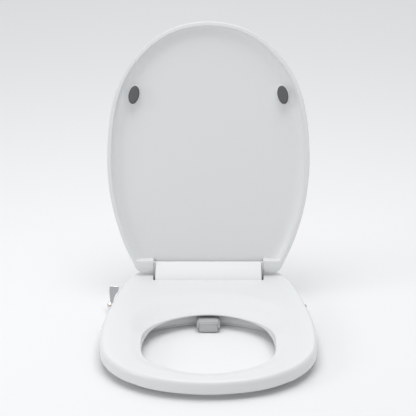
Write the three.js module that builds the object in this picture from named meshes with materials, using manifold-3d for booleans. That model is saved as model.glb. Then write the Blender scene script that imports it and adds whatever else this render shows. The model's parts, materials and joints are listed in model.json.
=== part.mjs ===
// Slim water-powered bidet seat: base unit, hinge block, ring seat, lid, side lever and sliding nozzles.
// Millimetres, +Z up. Origin: underside of the mounting plate, on the plane of the bowl rim. -Y is the front, +X the right side seen from the front.
import * as THREE from "three";
import { mergeVertices } from "three/addons/utils/BufferGeometryUtils.js";
import Module from "manifold-3d";

const wasm = await Module();
wasm.setup();

// ---------------------------------------------------------------- driving dimensions
const AXIS_Y = 15, AXIS_Z = 59.5;      // hinge axis shared by seat and lid
const SLOPE = 2;                       // seat plane falls this much towards the front, degrees
const LID_OPEN = 102;                  // lid angle from closed, degrees
const SEAT_TOP = -12;                  // top of the seat, normal to the seat plane, from the hinge axis
const SEAT_BOTTOM = -34;               // lower edge of the seat's skirt
const SEAT_REAR = -12;                 // rear edge of the seat's corners, behind the axis
const NOTCH_X = 101.3, NOTCH_S = 28;    // cut-out of the seat round the hinge block
const WALL = 3;
const RIM = -10;                       // lid's rim plane
const DISH = 14;                       // depth of the lid's dish
const LID_REAR = -7;                   // end of the lid's ears
const LID_CUT = 11.4;                  // edge of the lid's panel at the hinge block
const BARREL_R = 8.6;                  // ears' barrels round the hinge axis
const BLOCK_X = 98;                    // half-width of the hinge block
const PIN_R = 4.0, BORE_R = 4.35;
const BASE_TOP = 20.6, TRAY_TOP = 3.2;
const NOZZLE_TILT = 3;                 // fall of the nozzle channel towards the front, degrees
const NOZZLE_AXIS_Z = 14.3;            // height of the nozzle axis above y = 0
const NOZZLE_R = 3.8, NOZZLE_X = 6;
const GUARD_Y = -152.6, GUARD_Z = 16.2;
const LEVER_Y = -54, LEVER_Z = 12;     // control spindle
const LEVER_LEAN = 24;                 // lever leans back at rest, degrees
const INLET_R = 7.15, INLET_Z = 11.6;  // male thread of the water inlet
const BUTTON_Y = -64, BUTTON_Z = 15.6;

// Half outlines, [half-width, distance forward of the hinge axis].
const SEAT_OUT = [[0, -17.6], [60, -17.6], [100, -17.6], [118, -17.6], [127, -15.6], [133, -10], [138, -1.5], [142.5, 8], [150, 28], [157, 54], [163, 80], [168.3, 110], [174.6, 148], [179.6, 180], [183, 215], [184.4, 250], [184, 280], [182.2, 306], [178.4, 330], [170.2, 354], [157.6, 378], [138.5, 402], [123, 415], [106, 427.5], [84.5, 438.5], [58, 447], [30, 452.4], [0, 454.4]];
const LID_OUT = [[0, -7], [60, -7], [105, -7], [120, -7], [127.5, -5.6], [132, -1.5], [139.4, 13], [149.2, 33], [157.7, 53], [164.6, 73], [170.6, 93], [175.4, 113], [179.4, 133], [182.2, 153], [184.1, 173], [185, 195], [184.8, 214], [184.1, 232], [182.7, 252], [180.4, 272], [177.2, 292], [172.8, 312], [166.6, 332], [157.8, 352], [146.5, 372], [131.1, 392], [111.5, 412], [97, 423.5], [82, 433], [60, 443.2], [36, 449.8], [0, 453.4]];
const OPENING = [[0, 148], [21, 150.3], [36, 154.6], [50, 161], [64, 169.4], [77.5, 180.4], [88, 192], [96.4, 204.6], [102.8, 219], [107.6, 235], [111, 252], [113, 270], [113.4, 296], [112.2, 320], [109.2, 339], [104.6, 352.6], [96.8, 365], [86, 376.6], [72, 387.6], [53.6, 398.2], [27, 408.4], [0, 412]];
// Base unit, [x, y] in the part's frame.
const BASE_OUT = [[0, 50], [60, 50], [120, 50], [143, 46], [155, 34], [160.5, 10], [166.5, -20], [172.5, -45], [176.8, -64], [176.4, -86], [170.5, -112], [160, -134], [145, -149], [128, -155], [110, -153], [92, -145], [70, -132.8], [45, -122.8], [22, -117.5], [0, -116]];

// ---------------------------------------------------------------- helpers
const rad = THREE.MathUtils.degToRad;
const SB = Math.sin(rad(SLOPE)), CB = Math.cos(rad(SLOPE));
// (x, s, h) of the seat plane: s forward of the hinge axis, h normal to it.
const S = (x, s, h) => [x, AXIS_Y - s * CB - h * SB, AXIS_Z - s * SB + h * CB];
// Lid: (x, s, h) as closed, turned up about the axis.
const LS = Math.sin(rad(LID_OPEN)), LC = Math.cos(rad(LID_OPEN));
const L = (x, s, h) => S(x, s * LC - h * LS, s * LS + h * LC);

function solid(geo) {
  const g = geo.clone();
  for (const k of Object.keys(g.attributes)) if (k !== "position") g.deleteAttribute(k);
  const m = mergeVertices(g, 1e-4);
  return new wasm.Manifold(new wasm.Mesh({ numProp: 3, vertProperties: new Float32Array(m.attributes.position.array), triVerts: new Uint32Array(m.index.array) }));
}
function geometryOf(man) {
  const m = man.getMesh(), v = new Float32Array(m.numVert * 3);
  for (let i = 0; i < m.numVert; i++) for (let k = 0; k < 3; k++) v[3 * i + k] = m.vertProperties[i * m.numProp + k];
  const g = new THREE.BufferGeometry();
  g.setAttribute("position", new THREE.BufferAttribute(v, 3));
  g.setIndex(new THREE.BufferAttribute(new Uint32Array(m.triVerts), 1));
  g.computeVertexNormals();
  return g;
}
// A solid whose faces point out whatever way its loops run.
function gridSolid(loops, closed) {
  const n = loops[0].length, pos = [], idx = [];
  loops.forEach((l) => l.forEach((p) => pos.push(...p)));
  const quad = (a, b, c, d) => idx.push(a, b, c, a, c, d);
  const rows = closed ? loops.length : loops.length - 1;
  for (let j = 0; j < rows; j++) for (let i = 0; i < n; i++) {
    const k = (i + 1) % n, j2 = (j + 1) % loops.length;
    quad(j * n + i, j * n + k, j2 * n + k, j2 * n + i);
  }
  if (!closed) {
    const cap = (row, flip) => {
      const c = [0, 0, 0];
      loops[row].forEach((p) => p.forEach((v, k) => (c[k] += v / n)));
      const ci = pos.length / 3;
      pos.push(...c);
      for (let i = 0; i < n; i++) {
        const a = row * n + i, b = row * n + ((i + 1) % n);
        flip ? idx.push(ci, b, a) : idx.push(ci, a, b);
      }
    };
    cap(0, true);
    cap(loops.length - 1, false);
  }
  let vol = 0;
  for (let t = 0; t < idx.length; t += 3) {
    const [a, b, c] = [idx[t], idx[t + 1], idx[t + 2]].map((i) => pos.slice(3 * i, 3 * i + 3));
    vol += a[0] * (b[1] * c[2] - b[2] * c[1]) - a[1] * (b[0] * c[2] - b[2] * c[0]) + a[2] * (b[0] * c[1] - b[1] * c[0]);
  }
  if (vol < 0) for (let t = 0; t < idx.length; t += 3) [idx[t + 1], idx[t + 2]] = [idx[t + 2], idx[t + 1]];
  const g = new THREE.BufferGeometry();
  g.setAttribute("position", new THREE.Float32BufferAttribute(pos, 3));
  g.setIndex(idx);
  return solid(g);
}
const shapeOf = (pts, holes = []) => {
  const s = new THREE.Shape(pts.map(([a, b]) => new THREE.Vector2(a, b)));
  holes.forEach((h) => s.holes.push(new THREE.Path(h.map(([a, b]) => new THREE.Vector2(a, b)))));
  return s;
};
// Prism of a (y, z) outline along X.
function prismX(pts, x0, x1, holes) {
  const g = new THREE.ExtrudeGeometry(shapeOf(pts, holes), { depth: x1 - x0, bevelEnabled: false });
  g.applyMatrix4(new THREE.Matrix4().set(0, 0, 1, x0, 1, 0, 0, 0, 0, 1, 0, 0, 0, 0, 0, 1));
  return solid(g);
}
const prismSH = (pts, x0, x1) => prismX(pts.map(([s, h]) => S(0, s, h).slice(1)), x0, x1);
const prismLid = (pts, x0, x1) => prismX(pts.map(([s, h]) => L(0, s, h).slice(1)), x0, x1);
// Prism of an (x, y) outline along Z.
function prismZ(pts, z0, z1, holes) {
  const g = new THREE.ExtrudeGeometry(shapeOf(pts, holes), { depth: z1 - z0, bevelEnabled: false });
  g.translate(0, 0, z0);
  return solid(g);
}
function box(x0, x1, y0, y1, z0, z1) {
  const g = new THREE.BoxGeometry(x1 - x0, y1 - y0, z1 - z0);
  g.translate((x0 + x1) / 2, (y0 + y1) / 2, (z0 + z1) / 2);
  return solid(g);
}
function cylX(r, x0, x1, y, z, seg = 24) {
  const g = new THREE.CylinderGeometry(r, r, x1 - x0, seg);
  g.rotateZ(Math.PI / 2);
  g.translate((x0 + x1) / 2, y, z);
  return solid(g);
}
function cylY(r, y0, y1, x, z, seg = 20) {
  const g = new THREE.CylinderGeometry(r, r, y1 - y0, seg);
  g.translate(x, (y0 + y1) / 2, z);
  return solid(g);
}
function cylZ(r, z0, z1, x, y, seg = 20, rTop = r) {
  const g = new THREE.CylinderGeometry(rTop, r, z1 - z0, seg);
  g.rotateX(Math.PI / 2);
  g.translate(x, y, (z0 + z1) / 2);
  return solid(g);
}
function tube(points, r, steps, sides = 8) {
  const c = new THREE.CatmullRomCurve3(points.map((p) => new THREE.Vector3(...p)));
  const sh = new THREE.Shape();
  for (let i = 0; i < sides; i++) {
    const a = (2 * Math.PI * i) / sides;
    i ? sh.lineTo(r * Math.cos(a), r * Math.sin(a)) : sh.moveTo(r, 0);
  }
  return solid(new THREE.ExtrudeGeometry(sh, { steps, extrudePath: c, bevelEnabled: false }));
}
// Closed smooth polygon from a half outline.
function closedOutline(half, count = 260) {
  const full = [...half, ...half.slice(1, -1).reverse().map(([a, b]) => [-a, b])];
  const c = new THREE.CatmullRomCurve3(full.map(([a, b]) => new THREE.Vector3(a, b, 0)), true, "centripetal");
  return c.getPoints(count).slice(0, -1).map((p) => [p.x, p.y]);
}
const distTo = (poly, x, y) => {
  let best = 1e9;
  for (let i = 0; i < poly.length; i++) {
    const [ax, ay] = poly[i], [bx, by] = poly[(i + 1) % poly.length];
    const dx = bx - ax, dy = by - ay;
    const t = Math.max(0, Math.min(1, ((x - ax) * dx + (y - ay) * dy) / (dx * dx + dy * dy)));
    best = Math.min(best, Math.hypot(x - ax - t * dx, y - ay - t * dy));
  }
  return best;
};
// Radius from the centre to the polygon along an angle measured from +y.
const rayTo = (poly, cx, cy, a) => {
  const ux = Math.sin(a), uy = Math.cos(a);
  let best = 0;
  for (let i = 0; i < poly.length; i++) {
    const [ax, ay] = poly[i], [bx, by] = poly[(i + 1) % poly.length];
    const ex = bx - ax, ey = by - ay, den = ux * ey - uy * ex;
    if (Math.abs(den) < 1e-12) continue;
    const t = ((ax - cx) * ey - (ay - cy) * ex) / den, w = ((ax - cx) * uy - (ay - cy) * ux) / den;
    if (t > 0 && w >= -1e-9 && w <= 1 + 1e-9) best = Math.max(best, t);
  }
  return best;
};
// Radius at which a point on the ray is d inside the polygon.
const insetR = (poly, cx, cy, a, d) => {
  let hi = rayTo(poly, cx, cy, a), lo = 0;
  if (d <= 0) return hi;
  for (let k = 0; k < 22; k++) {
    const m = (lo + hi) / 2;
    distTo(poly, cx + m * Math.sin(a), cy + m * Math.cos(a)) > d ? (lo = m) : (hi = m);
  }
  return lo;
};
const mix = (a, b, t) => a + (b - a) * t;
const smooth = (t) => { t = Math.max(0, Math.min(1, t)); return t * t * (3 - 2 * t); };

const white = () => new THREE.MeshStandardMaterial({ color: 0xeef0f0, roughness: 0.28, metalness: 0 });
const paleGrey = () => new THREE.MeshStandardMaterial({ color: 0xc6c8c9, roughness: 0.34, metalness: 0 });
const grey = () => new THREE.MeshStandardMaterial({ color: 0x5f6061, roughness: 0.7, metalness: 0 });
const inner = () => new THREE.MeshStandardMaterial({ color: 0xc9cccd, roughness: 0.55, metalness: 0 });
const chrome = () => new THREE.MeshStandardMaterial({ color: 0xd8dadc, roughness: 0.12, metalness: 1 });
const brass = () => new THREE.MeshStandardMaterial({ color: 0xb99a5b, roughness: 0.35, metalness: 1 });
const steel = () => new THREE.MeshStandardMaterial({ color: 0xb9bcbf, roughness: 0.35, metalness: 1 });
const hose = () => new THREE.MeshStandardMaterial({ color: 0xdfe3e6, roughness: 0.5, metalness: 0 });

const part = new THREE.Group();
const baseGroup = new THREE.Group(), seatGroup = new THREE.Group(), lidGroup = new THREE.Group(), leverGroup = new THREE.Group();
const nozzleGroup = new THREE.Group();
nozzleGroup.position.set(0, 0, NOZZLE_AXIS_Z);
nozzleGroup.rotation.x = rad(NOZZLE_TILT);
part.add(baseGroup, seatGroup, lidGroup, leverGroup, nozzleGroup);
const put = (group, name, man, material) => {
  const m = new THREE.Mesh(geometryOf(man), material);
  m.name = name;
  group.add(m);
  return m;
};

// ---------------------------------------------------------------- seat ring
const N = 64;
const seatPoly = closedOutline(SEAT_OUT), openPoly = closedOutline(OPENING, 200);
const SC = 292;
const angles = Array.from({ length: N }, (_, i) => (2 * Math.PI * i) / N);
function ringLoops(profile) {
  // profile(outer radius, inner radius, angle) gives [radius, h] pairs, the same count at each angle
  const cols = angles.map((a) => {
    const ro = rayTo(seatPoly, 0, SC, a), ri = rayTo(openPoly, 0, SC, a);
    return profile(ro, ri, a).map(([r, h]) => S(r * Math.sin(a), SC + r * Math.cos(a), h));
  });
  return cols[0].map((_, j) => cols.map((c) => c[j]));
}
const rear = (a) => smooth((-Math.cos(a) - 0.15) / 0.8);
const scoop = (a, e) => {
  const drop = 3.5 + 12 * rear(a), len = 22 + 46 * rear(a);
  return e >= len ? 0 : -drop * (0.5 + 0.5 * Math.cos((Math.PI * e) / len));
};
const outerProfile = (ro, ri, a) => {
  const top = (e) => SEAT_TOP + scoop(a, e);
  const w = ro - ri, len = Math.min(22 + 46 * rear(a), w - 9);
  const out = [[ro - 1.4, SEAT_BOTTOM], [ro, SEAT_BOTTOM + 2.4], [ro, -19.5], [ro - 0.9, -15.8], [ro - 3, -13.3], [ro - 7, SEAT_TOP]];
  for (const f of [1, 0.75, 0.5, 0.28, 0.1]) out.push([ri + len * f, top(len * f)]);
  const hb = SEAT_BOTTOM + 3 * rear(a);
  out.push([ri + 0.9, top(0) - mix(1.6, 1, rear(a))], [ri, top(0) - mix(4, 2.3, rear(a))], [ri, hb + 0.8], [ri + 0.8, hb]);
  return out;
};
const cavityProfile = (ro, ri, a) => {
  const w = ro - ri, len = Math.min(22 + 46 * rear(a), w - 9);
  const top = (e) => SEAT_TOP + scoop(a, e) - WALL;
  const out = [[ro - WALL, SEAT_BOTTOM - 4], [ro - WALL, -19.5], [ro - 5, -16.3], [ro - 8.5, SEAT_TOP - WALL]];
  const lip = ri + WALL + 16 * rear(a);
  for (const f of [1, 0.75, 0.5, 0.3]) out.push([Math.max(lip, Math.min(ro - 9, ri + len * f + 1.5)), top(len * f)]);
  out.push([lip, Math.min(top(0) - 2.5, SEAT_BOTTOM + 6)], [lip, SEAT_BOTTOM - 4]);
  return out;
};
const seatFull = gridSolid(ringLoops(outerProfile), true);
const seatCavity = gridSolid(ringLoops(cavityProfile), true);
// Cut-out round the hinge block, grown by g.
const notchPlan = (g) => [[NOTCH_X + g, -60], [NOTCH_X + g, NOTCH_S + g], [-NOTCH_X - g, NOTCH_S + g], [-NOTCH_X - g, -60]];
const upright = (plan, h0, h1) => gridSolid([plan.map(([x, s]) => S(x, s, h0)), plan.map(([x, s]) => S(x, s, h1))], false);
const notch = upright(notchPlan(0), -90, 40), notchWall = upright(notchPlan(WALL), -90, 40);
const seatTop = seatFull.subtract(seatCavity.subtract(notchWall)).subtract(notch);
put(seatGroup, "seat_top_shell", seatTop, white());
const plateLoops = ringLoops((ro, ri, a) => { const q = ri + WALL + 0.4 + 20 * rear(a); return [[ro - WALL - 0.4, SEAT_BOTTOM + 0.6], [ro - WALL - 0.4, SEAT_BOTTOM + 3], [q, SEAT_BOTTOM + 3], [q, SEAT_BOTTOM + 0.6]]; });
const notchPlate = upright(notchPlan(WALL + 0.4), -90, 40);
put(seatGroup, "seat_bottom_shell", gridSolid(plateLoops, true).subtract(notchPlate), white());

// Bumpers under the ring, standing on the bowl rim.
const oval = (cx, cy, a, b, n = 16, turn = 0) => Array.from({ length: n }, (_, i) => {
  const t = (2 * Math.PI * i) / n, u = a * Math.cos(t), v = b * Math.sin(t);
  return [cx + u * Math.cos(turn) - v * Math.sin(turn), cy + u * Math.sin(turn) + v * Math.cos(turn)];
});
for (const [name, x, s, turn] of [["seat_bumper_rear_left", -148, 212, 0.08], ["seat_bumper_rear_right", 148, 212, -0.08], ["seat_bumper_front_left", -101, 385, -0.85], ["seat_bumper_front_right", 101, 385, 0.85]]) {
  const [, y, z] = S(x, s, SEAT_BOTTOM + 0.6);
  put(seatGroup, name, prismZ(oval(x, y, 8, 12.5, 16, turn), 0, z - 0.9), grey());
}
const EYE_R = 10.8;                    // eyes of the hinge arms
// Hinge arms beside the block, and the pin that the right arm is keyed to.
const eye = (r, a0, a1, n) => Array.from({ length: n + 1 }, (_, i) => { const t = rad(mix(a0, a1, i / n)); return [r * Math.cos(t), r * Math.sin(t)]; });
const armPts = [...eye(EYE_R, -8, 188, 14), [-EYE_R, -31], [8.5, -31]];
const pinAxis = S(0, 0, 0);
for (const [name, x0, x1] of [["seat_hinge_arm_left", -100.95, -98.55], ["seat_hinge_arm_right", 98.55, 100.95]])
  put(seatGroup, name, prismSH(armPts, x0, x1).subtract(cylX(BORE_R, x0 - 1, x1 + 1, pinAxis[1], pinAxis[2])), inner());
const stepPin = (side) => {
  const [a, b] = side < 0 ? [-114.8, -98.2] : [98.2, 114.8];
  const [c, d] = side < 0 ? [-98.2, -72.8] : [72.8, 98.2];
  return cylX(PIN_R, a, b, pinAxis[1], pinAxis[2]).add(cylX(2.6, c - 0.01, d + 0.01, pinAxis[1], pinAxis[2], 16));
};
put(seatGroup, "seat_damper_pin", stepPin(1), steel());

// ---------------------------------------------------------------- lid
const lidPoly = closedOutline(LID_OUT);
const LCN = 215;
function lidLoops(list) {
  // each entry: [inset from the outline, h, rear limit of s]
  return list.map(([d, h, sMin]) => angles.map((a) => {
    let r = insetR(lidPoly, 0, LCN, a, d);
    const c = Math.cos(a);
    if (sMin !== undefined && c < -1e-6) r = Math.min(r, (LCN - sMin) / -c);
    return L(r * Math.sin(a), LCN + r * c, h);
  }));
}
const lidOuter = gridSolid(lidLoops([[0.9, RIM], [0, RIM + 1.2], [0.5, -4], [2.2, 1.5], [5.5, 5.6], [10.5, 7.9], [18, 8.6], [60, 9.5], [120, 9.9]]), false);
const quarter = (t) => RIM + DISH * Math.sqrt(Math.max(0, 1 - (1 - t) * (1 - t)));
const dish = gridSolid(lidLoops([[7.6, RIM - 4, 15], [7.6, RIM, 15.3], [8.5, quarter(0.03), 15.8], [10.1, quarter(0.1), 16.2], [13.4, quarter(0.25), 16.8], [18.4, quarter(0.47), 17.3], [24.6, quarter(0.74), 17.8], [31.5, quarter(1), 18.2], [90, RIM + DISH + 0.7, 19]]), false);
const lidNotch = prismLid([[LID_CUT, -40], [LID_CUT, 40], [-40, 40], [-40, -40]], -NOTCH_X, NOTCH_X);
const lidLip = prismLid([[LID_CUT - 1, -40], [30, -40], [30, RIM + DISH], [20, RIM + DISH], [16, 4.5], [13.4, 5.5], [LID_CUT, 6.9], [LID_CUT - 1, 6.9]], -NOTCH_X, NOTCH_X);
// The ears end in a nose round the axis.
const nose = [[6, RIM - 2], [5.5, RIM], [0.5, -9.2], [-4, -6.6], [-6.7, -2.2], [-7, 0], [-6.2, 3.4], [-3.4, 6.4], [1, 8.2], [6, 12], [-20, 12], [-20, RIM - 2]];
let lidBody = lidOuter.subtract(dish).subtract(lidNotch).subtract(lidLip).subtract(prismLid(nose, -200, 200));
lidBody = lidBody.add(cylX(BARREL_R, -126.6, -NOTCH_X - 0.1, pinAxis[1], pinAxis[2], 40)).add(cylX(BARREL_R, NOTCH_X + 0.1, 126.6, pinAxis[1], pinAxis[2], 40));
lidBody = lidBody.subtract(cylX(BORE_R, -115.8, -92, pinAxis[1], pinAxis[2])).subtract(cylX(BORE_R, 92, 115.8, pinAxis[1], pinAxis[2]));
// Bumper positions on the dish, [x, s], and their lean.
const LBX = 135.4, LBS = 321, LBT = 0.22;
const lidOval = (x, s, a, b, h0, h1, turn) => {
  const pts = oval(x, s, a, b, 20, turn);
  return gridSolid([pts.map(([u, v]) => L(u, v, h0)), pts.map(([u, v]) => L(u, v, h1))], false);
};
for (const side of [-1, 1]) {
  const n = side < 0 ? "left" : "right", t = side * LBT;
  const cup = lidOval(side * LBX, LBS, 11.3, 18.4, RIM + 0.6, 6, t).subtract(dish.subtract(lidOval(side * LBX, LBS, 30, 30, RIM - 20, 20, 0))).subtract(lidOval(side * LBX, LBS, 9.6, 16.7, RIM - 3, RIM + 3.6, t));
  lidBody = lidBody.add(cup);
  put(lidGroup, "lid_bumper_" + n, lidOval(side * LBX, LBS, 9.2, 16.3, -11.6, RIM + 3.2, t), grey());
}
put(lidGroup, "lid_shell", lidBody, white());
put(lidGroup, "lid_damper_pin", stepPin(-1), steel());

// ---------------------------------------------------------------- hinge block and dampers
const deckH = -38.2;
const BLOCK_R = 12.15;                 // top of the block, round the axis
const topArc = Array.from({ length: 8 }, (_, i) => { const t = rad(mix(96, 150, i / 7)); return [BLOCK_R * Math.cos(t), BLOCK_R * Math.sin(t)]; });
const blockOuter = [[27.2, deckH], [27.2, -14.2], [26.5, -12.8], [0.2, 11.5], ...topArc, [-13.2, 1.6], [-15.6, -5], [-18, -20], [-18, deckH]];
const blockInner = [[25.2, deckH - 5], [25.2, -14.4], [-1.8, 10.0], [-6, 8.1], [-8.7, 4.9], [-11.2, 0.6], [-13.6, -5.4], [-16, -20], [-16, deckH - 5]];
const deckCut = box(-200, 200, -200, 200, -50, BASE_TOP + 0.3);
const cover = prismSH(blockOuter, -BLOCK_X, BLOCK_X).subtract(prismSH(blockInner, -BLOCK_X + 2, BLOCK_X - 2)).subtract(deckCut)
  .subtract(cylX(4.4, -103, -93, pinAxis[1], pinAxis[2])).subtract(cylX(4.4, 93, 103, pinAxis[1], pinAxis[2]));
put(baseGroup, "hinge_cover", cover, white());
for (const [name, x0, x1, b0, b1] of [["lid_damper", -95.6, -44, -96.3, -71.8], ["seat_damper", 44, 95.6, 71.8, 96.3]])
  put(baseGroup, name, cylX(4.6, x0, x1, pinAxis[1], pinAxis[2]).subtract(cylX(2.95, b0, b1, pinAxis[1], pinAxis[2], 16)), inner());
const saddle = (r) => [[AXIS_Y - 8.5, BASE_TOP + 0.3], [AXIS_Y + 8.5, BASE_TOP + 0.3], [AXIS_Y + 8.5, AXIS_Z - 1.5], ...Array.from({ length: 9 }, (_, i) => { const t = rad(mix(-16, -164, i / 8)); return [AXIS_Y + r * Math.cos(t), AXIS_Z + r * Math.sin(t)]; }), [AXIS_Y - 8.5, AXIS_Z - 5]];
for (const [name, x0, x1] of [["damper_bracket_left_outer", -92.8, -86.8], ["damper_bracket_left_inner", -52, -46], ["damper_bracket_right_inner", 46, 52], ["damper_bracket_right_outer", 86.8, 92.8]])
  put(baseGroup, name, prismX(saddle(4.95), x0, x1), inner());

// ---------------------------------------------------------------- base unit
const basePoly = closedOutline(BASE_OUT, 240);
const BCY = -28, NB = 52;
const bAngles = Array.from({ length: NB }, (_, i) => (2 * Math.PI * i) / NB);
const baseLoops = (list) => list.map(([d, z]) => bAngles.map((a) => {
  const r = insetR(basePoly, 0, BCY, a, d);
  const y = BCY + r * Math.cos(a);
  return [r * Math.sin(a), y, z - Math.max(0, -98 - y) * 0.038 * Math.max(0, (z - 8) / (BASE_TOP - 8))];
}));
let coverSolid = gridSolid(baseLoops([[0, TRAY_TOP + 0.3], [0.2, 8], [1.6, 14], [4, 18], [6.6, 20], [10, BASE_TOP]]), false)
  .subtract(gridSolid(baseLoops([[2.2, 0], [2.4, 8], [3.8, 13], [6.2, 16.4], [9, 18.2], [12, 18.4]]), false));
// Screw bosses down from the roof.
const SCREWS = [["left_rear", -135, 26], ["right_rear", 135, 26], ["left_front", -140, -96], ["right_front", 140, -96]];
for (const [, x, y] of SCREWS) coverSolid = coverSolid.add(cylZ(4, TRAY_TOP + 0.3, 19, x, y, 16));
for (const [, x, y] of SCREWS) coverSolid = coverSolid.subtract(cylZ(1.8, 0, 14, x, y, 12));
coverSolid = coverSolid
  .subtract(box(-16.3, 16.3, -120, -60, 0, 14.2))                       // mouth for the nozzle channel
  .subtract(cylX(3.5, -190, -160, LEVER_Y, LEVER_Z))                    // control spindle
  .subtract(prismX(oval(BUTTON_Y, BUTTON_Z - 1.6, 6.9, 3.4, 16), 150, 190)) // release button
  .subtract(cylY(INLET_R + 0.4, 30, 60, -128, INLET_Z, 24));                         // water inlet
put(baseGroup, "base_cover", coverSolid, white());

const PLATE = [-112, 112, -14, 44];
let tray = gridSolid(baseLoops([[0.8, 0], [0, 0.9], [0, TRAY_TOP]]), false)
  .add(box(PLATE[0] - 3, PLATE[1] + 3, PLATE[2] - 3, PLATE[3] + 2.4, TRAY_TOP - 1, 4.9))
  .subtract(box(PLATE[0] - 0.3, PLATE[1] + 0.3, PLATE[2] - 0.3, PLATE[3] + 0.3, -2, 3.2))
  .subtract(box(-16.1, 16.1, -140, -96, 2.2, 8));                        // relief under the nozzle channel
for (const [, x, y] of SCREWS) tray = tray.subtract(cylZ(1.8, -2, 6, x, y, 12)).subtract(cylZ(3.6, -2, 2, x, y, 16));
put(baseGroup, "base_tray", tray, white());
for (const [name, x, y] of SCREWS) put(baseGroup, "tray_screw_" + name, cylZ(3.2, 0.5, 1.7, x, y, 16).add(cylZ(1.45, 1.6, 12.5, x, y, 12)), steel());
const slot = (cx) => { const p = []; for (let i = 0; i <= 6; i++) { const t = rad(mix(0, 180, i / 6)); p.push([cx + 4.25 * Math.cos(t), 25 + 4.25 * Math.sin(t)]); } for (let i = 0; i <= 6; i++) { const t = rad(mix(180, 360, i / 6)); p.push([cx + 4.25 * Math.cos(t), 2 + 4.25 * Math.sin(t)]); } return p; };
put(baseGroup, "mounting_plate", prismZ([[-112, -14], [112, -14], [112, 44], [-112, 44]], 0, 2.9, [slot(-75), slot(75)]), steel());

// Water inlet, valve and hoses inside the base.
put(baseGroup, "water_inlet_fitting", cylY(INLET_R, 38, 64, -128, INLET_Z, 24).subtract(cylY(4.2, 30, 70, -128, INLET_Z, 16)), brass());
put(baseGroup, "inlet_seal_ring", cylY(INLET_R - 0.3, 64.3, 66.3, -128, INLET_Z, 24).subtract(cylY(4.2, 60, 70, -128, INLET_Z, 16)), grey());
put(baseGroup, "control_valve_body", box(-156, -122, -70, -38, 4.2, 17.6).subtract(cylX(3.4, -160, -140, LEVER_Y, LEVER_Z)), inner());
put(baseGroup, "supply_tube", tube([[-128, 37.6, INLET_Z], [-128, 15, INLET_Z], [-136, -12, INLET_Z], [-139, -37.6, INLET_Z]], 3.4, 12), hose());
put(baseGroup, "rear_wash_tube", tube([[-121.6, -46, 10], [-100, -45, 10], [-60, -26, 10], [-36, 8, 11], [-25, 21.4, 14.3], [-18.5, 22, 14.65], [-13.95, 22, 14.65]], 2.3, 20), hose());
put(baseGroup, "front_wash_tube", tube([[-121.6, -60, 10], [-96, -59, 10], [-50, -38, 10], [-32, -6, 11], [-24, 9.2, 13.6], [-18.5, 10, 14.02], [-13.95, 10, 14.02]], 2.3, 20), hose());

// ---------------------------------------------------------------- nozzle unit, in the channel's own frame
put(nozzleGroup, "nozzle_channel", box(-15.7, 15.7, -149, 30, -5.6, 1.2).subtract(box(-14.1, 14.1, -152, 28, -4.3, 5)).subtract(cylX(2.75, -20, -14, 10, -0.8, 14)).subtract(cylX(2.75, -20, -14, 22, -0.8, 14)), white());
const feedHead = box(-13.6, 13.6, 3, 27.6, -3.9, 1.8).subtract(cylX(1.6, -20, -9, 10, -0.8, 12)).subtract(cylX(1.6, -20, -9, 22, -0.8, 12));
put(nozzleGroup, "nozzle_feed_block", feedHead, inner());
for (const [n, x] of [["rear", -NOZZLE_X], ["front", NOZZLE_X]]) {
  put(nozzleGroup, n + "_feed_tube", cylY(1.4, -90, 2.6, x, 0, 10), steel());
  put(nozzleGroup, n + "_wash_nozzle", cylY(NOZZLE_R, -96.4, -1, x, 0, 20).subtract(cylY(1.9, -93, 5, x, 0, 12)), white());
  put(nozzleGroup, n + "_nozzle_tip", cylY(NOZZLE_R, -105, -96.8, x, 0, 20).subtract(cylZ(0.8, 1, 6, x, -101, 8)), inner());
}
put(nozzleGroup, "nozzle_carriage", box(-13.6, 13.6, -0.7, 1.7, -3.9, 3.4).subtract(cylY(1.8, -20, 5, -NOZZLE_X, 0, 12)).subtract(cylY(1.8, -20, 5, NOZZLE_X, 0, 12)), inner());

// Hood over the channel's mouth, and the guard flap on its pin.
const hoodSection = [[-20.6, 0], [-20.6, 14], [-16.6, 18], [16.6, 18], [20.6, 14], [20.6, 0]];
const cheek = [[-118.3, 8], [-118.3, 18], [-150.8, 18], [-154.6, 17.4], [-155, 15.8], [-154.4, 9.6], [-152.8, 8]];
const roofIn = [[-80, 2], [-80, 16.1], [-150, 16.1], [-150.4, 13.4], [-170, 13.4], [-170, 2]];
const hoodOuter = gridSolid([hoodSection.map(([x, z]) => [x, -170, z]), hoodSection.map(([x, z]) => [x, -60, z])], false);
let hood = prismX(cheek, -20.6, 20.6).intersect(hoodOuter).subtract(prismX(roofIn, -16.9, 16.9)).subtract(prismX([[-150.7, 2], [-150.7, 30], [-170, 30], [-170, 2]], -16.9, 16.9));
hood = hood.subtract(cylX(1.1, -17.9, 17.9, GUARD_Y, GUARD_Z, 12));
put(baseGroup, "nozzle_hood", hood, paleGrey());
put(baseGroup, "guard_pin", cylX(0.75, -17.6, 17.6, GUARD_Y, GUARD_Z, 10), steel());
const flapFace = [[-16.4, 15], [-16.4, 3.6], [-15.4, 2.1], [-13.4, 1.5], [0, 0.9], [13.4, 1.5], [15.4, 2.1], [16.4, 3.6], [16.4, 15]];
const flapGeo = new THREE.ExtrudeGeometry(shapeOf(flapFace), { depth: 1.8, bevelEnabled: false });
flapGeo.applyMatrix4(new THREE.Matrix4().set(1, 0, 0, 0, 0, 0, 1, -154, 0, 1, 0, 0, 0, 0, 0, 1));
let flap = solid((() => { const g = flapGeo; const m = solidSafe(g); return m; })());
function solidSafe(g) {
  // the axis swap above mirrors the prism, so its faces are turned back
  const h = g.index ? g.toNonIndexed() : g, p = h.attributes.position.array;
  for (let i = 0; i < p.length; i += 9) for (let k = 0; k < 3; k++) [p[i + 3 + k], p[i + 6 + k]] = [p[i + 6 + k], p[i + 3 + k]];
  return h;
}
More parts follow.
